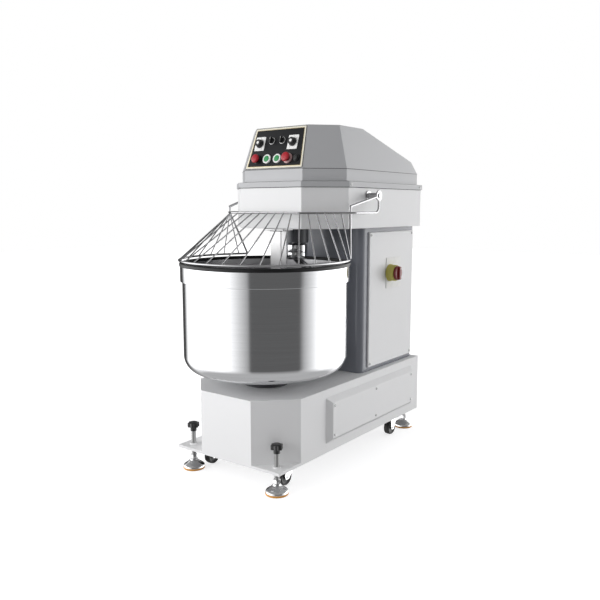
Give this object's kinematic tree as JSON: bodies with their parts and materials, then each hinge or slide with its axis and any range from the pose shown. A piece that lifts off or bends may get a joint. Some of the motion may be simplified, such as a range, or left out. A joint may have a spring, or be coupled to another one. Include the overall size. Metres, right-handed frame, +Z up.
{
  "type": "spiral dough mixer",
  "caption": "Free-standing spiral dough mixer: boxed base and column, overhanging drive head with leaning control face, driven steel bowl and spiral, breaker bar and hinged wire guard.",
  "frame": {"origin": "centre of the footprint on the floor, when the mixer stands on its four levelling feet", "axes": "+Z up; the control face, guard and bowl face -Y; +X is to the right seen from the front"},
  "size_m": [0.725, 1.2379, 1.452],
  "materials": {
    "body_paint": "light gray powder coat",
    "cover_paint": "silver gray satin powder coat",
    "column_paint": "blue gray satin powder coat",
    "stainless": "fine brushed stainless",
    "bowl_steel": "mirror-polished stainless",
    "wire_steel": "bright drawn and polished rod",
    "chrome": "bright chrome plating",
    "dark_steel": "dark machined and painted steel",
    "cast_iron": "as cast, painted",
    "black_plastic": "moulded, satin",
    "black_rubber": "matt",
    "panel_film": "dark film with a cream border",
    "red_plastic": "moulded, glossy",
    "green_plastic": "moulded, glossy",
    "switch_yellow": "moulded",
    "motor_paint": "enamel"
  },
  "bodies": {
    "machine": {"base_casing": "body_paint", "base_cover_right": "body_paint", "base_cover_left": "body_paint", "foot_brackets": "body_paint", "column_casing": "column_paint", "column_cover_right": "body_paint", "column_cover_left": "body_paint", "column_rear_cover": "body_paint", "cover_screws": "stainless", "head_housing": "body_paint", "head_deck": "cover_paint", "top_cover": "cover_paint", "control_panel": "panel_film", "control_bezels": "chrome", "spindle_housing": "dark_steel", "breaker_bar": "stainless", "guard_pivots": "stainless", "switch_body": "switch_yellow", "caster_mounts": "chrome", "drive_motors": "motor_paint", "drive_belts": "black_rubber", "bowl_bearing_housing": "cast_iron", "shaft_bearings": "stainless", "cable_gland": "black_plastic"},
    "bowl": {"bowl_shell": "bowl_steel", "bowl_rim": "dark_steel", "bowl_spindle": "stainless", "bowl_pulley": "cast_iron"},
    "spiral": {"spiral_hook": "stainless", "spiral_spindle": "chrome", "spiral_pulley": "cast_iron"},
    "spiral_motor_rotor": {"spiral_motor_pulley": "cast_iron"},
    "bowl_motor_rotor": {"bowl_motor_pulley": "cast_iron"},
    "guard": {"guard_frame": "wire_steel", "guard_wires": "wire_steel", "guard_hubs": "wire_steel"},
    "timer_knob_left": {"timer_knob_left": "black_plastic"},
    "timer_knob_right": {"timer_knob_right": "black_plastic"},
    "selector_knob_left": {"selector_knob_left": "black_plastic"},
    "selector_knob_right": {"selector_knob_right": "black_plastic"},
    "stop_button": {"stop_button": "red_plastic"},
    "start_button_left": {"start_button_left": "green_plastic"},
    "start_button_right": {"start_button_right": "green_plastic"},
    "emergency_stop": {"emergency_stop": "red_plastic"},
    "jog_button": {"jog_button": "black_plastic"},
    "switch_knob": {"switch_knob": "red_plastic"},
    "caster_fork_right": {"caster_fork_right": "chrome"},
    "front_wheel_right": {"front_wheel_right": "black_rubber"},
    "rear_wheel_right": {"rear_wheel_right": "black_rubber"},
    "caster_fork_left": {"caster_fork_left": "chrome"},
    "front_wheel_left": {"front_wheel_left": "black_rubber"},
    "rear_wheel_left": {"rear_wheel_left": "black_rubber"},
    "front_foot_right": {"front_foot_right": "chrome"},
    "foot_screw_right": {"foot_screw_right": "chrome", "foot_knob_right": "black_plastic"},
    "rear_foot_right": {"rear_foot_right": "chrome"},
    "front_foot_left": {"front_foot_left": "chrome"},
    "foot_screw_left": {"foot_screw_left": "chrome", "foot_knob_left": "black_plastic"},
    "rear_foot_left": {"rear_foot_left": "chrome"}
  },
  "joints": [
    {"name": "guard_hinge", "type": "hinge", "parent": "machine", "child": "guard", "pos_m": [0, 0.065, 1.163], "axis": [-1, 0, 0], "range_deg": [0, 42]},
    {"name": "bowl_spin", "type": "hinge", "parent": "machine", "child": "bowl", "pos_m": [0, -0.2575, 0.3], "axis": [0, 0, 1], "continuous": true},
    {"name": "spiral_spin", "type": "hinge", "parent": "machine", "child": "spiral", "pos_m": [0, -0.035, 1], "axis": [0, 0, 1], "continuous": true},
    {"name": "bowl_motor_spin", "type": "hinge", "parent": "machine", "child": "bowl_motor_rotor", "pos_m": [0, 0.33, 0.2], "axis": [0, 0, 1], "continuous": true},
    {"name": "spiral_motor_spin", "type": "hinge", "parent": "machine", "child": "spiral_motor_rotor", "pos_m": [0, 0.35, 1.1], "axis": [0, 0, 1], "continuous": true},
    {"name": "timer_knob_left_turn", "type": "hinge", "parent": "machine", "child": "timer_knob_left", "pos_m": [-0.096, -0.16677, 1.38186], "axis": [0, 0.9471, -0.321], "range_deg": [0, 300]},
    {"name": "timer_knob_right_turn", "type": "hinge", "parent": "machine", "child": "timer_knob_right", "pos_m": [0.08, -0.16677, 1.38186], "axis": [0, 0.9471, -0.321], "range_deg": [0, 300]},
    {"name": "selector_knob_left_turn", "type": "hinge", "parent": "machine", "child": "selector_knob_left", "pos_m": [-0.032, -0.16356, 1.39133], "axis": [0, 0.9471, -0.321], "range_deg": [-45, 45]},
    {"name": "selector_knob_right_turn", "type": "hinge", "parent": "machine", "child": "selector_knob_right", "pos_m": [0.023, -0.16356, 1.39133], "axis": [0, 0.9471, -0.321], "range_deg": [-45, 45]},
    {"name": "stop_button_press", "type": "slide", "parent": "machine", "child": "stop_button", "axis": [0, 0.9471, -0.321], "range_m": [0, 0.004], "stiffness_N_per_m": 600},
    {"name": "start_button_left_press", "type": "slide", "parent": "machine", "child": "start_button_left", "axis": [0, 0.9471, -0.321], "range_m": [0, 0.004], "stiffness_N_per_m": 600},
    {"name": "start_button_right_press", "type": "slide", "parent": "machine", "child": "start_button_right", "axis": [0, 0.9471, -0.321], "range_m": [0, 0.004], "stiffness_N_per_m": 600},
    {"name": "emergency_stop_press", "type": "slide", "parent": "machine", "child": "emergency_stop", "axis": [0, 0.9471, -0.321], "range_m": [0, 0.006], "stiffness_N_per_m": 600},
    {"name": "jog_button_press", "type": "slide", "parent": "machine", "child": "jog_button", "axis": [0, 0.9471, -0.321], "range_m": [0, 0.004], "stiffness_N_per_m": 600},
    {"name": "switch_knob_turn", "type": "hinge", "parent": "machine", "child": "switch_knob", "pos_m": [0.253, 0.347, 0.811], "axis": [-1, 0, 0], "range_deg": [0, 90]},
    {"name": "caster_swivel_right", "type": "hinge", "parent": "machine", "child": "caster_fork_right", "pos_m": [0.2, -0.365, 0.08], "axis": [0, 0, 1], "continuous": true},
    {"name": "front_wheel_right_spin", "type": "hinge", "parent": "caster_fork_right", "child": "front_wheel_right", "pos_m": [0.2, -0.39, 0.0385], "axis": [1, 0, 0], "continuous": true},
    {"name": "rear_wheel_right_spin", "type": "hinge", "parent": "machine", "child": "rear_wheel_right", "pos_m": [0.23, 0.418, 0.0385], "axis": [1, 0, 0], "continuous": true},
    {"name": "caster_swivel_left", "type": "hinge", "parent": "machine", "child": "caster_fork_left", "pos_m": [-0.2, -0.365, 0.08], "axis": [0, 0, 1], "continuous": true},
    {"name": "front_wheel_left_spin", "type": "hinge", "parent": "caster_fork_left", "child": "front_wheel_left", "pos_m": [-0.2, -0.39, 0.0385], "axis": [1, 0, 0], "continuous": true},
    {"name": "rear_wheel_left_spin", "type": "hinge", "parent": "machine", "child": "rear_wheel_left", "pos_m": [-0.23, 0.418, 0.0385], "axis": [1, 0, 0], "continuous": true},
    {"name": "front_foot_right_height", "type": "slide", "parent": "machine", "child": "front_foot_right", "axis": [0, 0, -1], "range_m": [-0.03, 0.05]},
    {"name": "foot_screw_right_turn", "type": "hinge", "parent": "front_foot_right", "child": "foot_screw_right", "pos_m": [0.229, -0.471, 0.1], "axis": [0, 0, -1], "range_deg": [-4320, 7200]},
    {"name": "rear_foot_right_height", "type": "slide", "parent": "machine", "child": "rear_foot_right", "axis": [0, 0, -1], "range_m": [-0.03, 0.05]},
    {"name": "front_foot_left_height", "type": "slide", "parent": "machine", "child": "front_foot_left", "axis": [0, 0, -1], "range_m": [-0.03, 0.05]},
    {"name": "foot_screw_left_turn", "type": "hinge", "parent": "front_foot_left", "child": "foot_screw_left", "pos_m": [-0.229, -0.471, 0.1], "axis": [0, 0, -1], "range_deg": [-4320, 7200]},
    {"name": "rear_foot_left_height", "type": "slide", "parent": "machine", "child": "rear_foot_left", "axis": [0, 0, -1], "range_m": [-0.03, 0.05]}
  ],
  "couplings": [
    {"joint": "bowl_motor_spin", "follows": "bowl_spin", "ratio": 4.75},
    {"joint": "spiral_motor_spin", "follows": "spiral_spin", "ratio": 3.3333},
    {"joint": "foot_screw_right_turn", "follows": "front_foot_right_height", "rad_per_m": 2513.3},
    {"joint": "foot_screw_left_turn", "follows": "front_foot_left_height", "rad_per_m": 2513.3}
  ]
}
